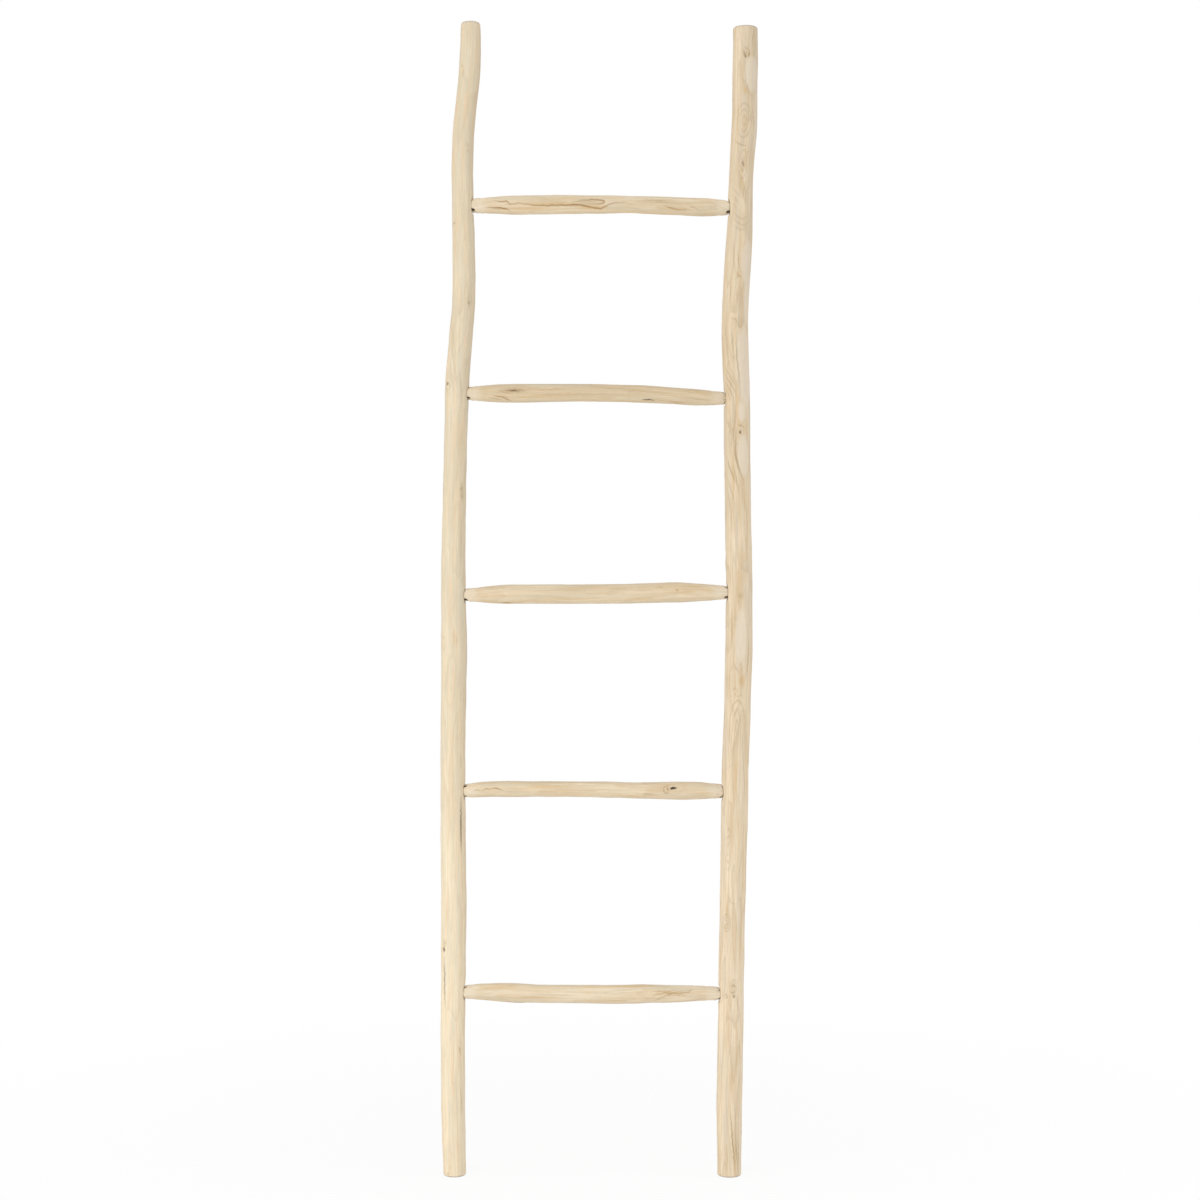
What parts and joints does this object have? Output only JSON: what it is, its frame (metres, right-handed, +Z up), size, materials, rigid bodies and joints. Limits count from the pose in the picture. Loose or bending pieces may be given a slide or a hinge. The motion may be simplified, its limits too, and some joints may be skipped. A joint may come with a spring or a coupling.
{
  "type": "towel ladder",
  "caption": "Leaning towel ladder made of debarked natural branches: two crooked round poles joined by rungs with whittled round tenons.",
  "frame": {"origin": "on the floor, at the middle of the ladder's width and depth", "axes": "+Z up along the poles, +X from the left pole to the right pole as seen from the front, front towards -Y"},
  "size_m": [0.5094, 0.0532, 1.85],
  "materials": {
    "pale_pole_wood": "bare debarked teak, pale, smooth",
    "tan_pole_wood": "bare debarked teak, tan with greyish patches",
    "rung_wood": "bare debarked teak, whittled pale at the ends",
    "peg_wood": "bare hardwood, end grain showing"
  },
  "bodies": {
    "root": {"left_pole": "pale_pole_wood", "right_pole": "tan_pole_wood", "rung_1": "rung_wood", "rung_2": "rung_wood", "rung_3": "rung_wood", "rung_4": "rung_wood", "rung_5": "rung_wood", "rung_1_left_peg": "peg_wood", "rung_1_right_peg": "peg_wood", "rung_2_left_peg": "peg_wood", "rung_2_right_peg": "peg_wood", "rung_3_left_peg": "peg_wood", "rung_3_right_peg": "peg_wood", "rung_4_left_peg": "peg_wood", "rung_4_right_peg": "peg_wood", "rung_5_left_peg": "peg_wood", "rung_5_right_peg": "peg_wood"}
  },
  "joints": []
}
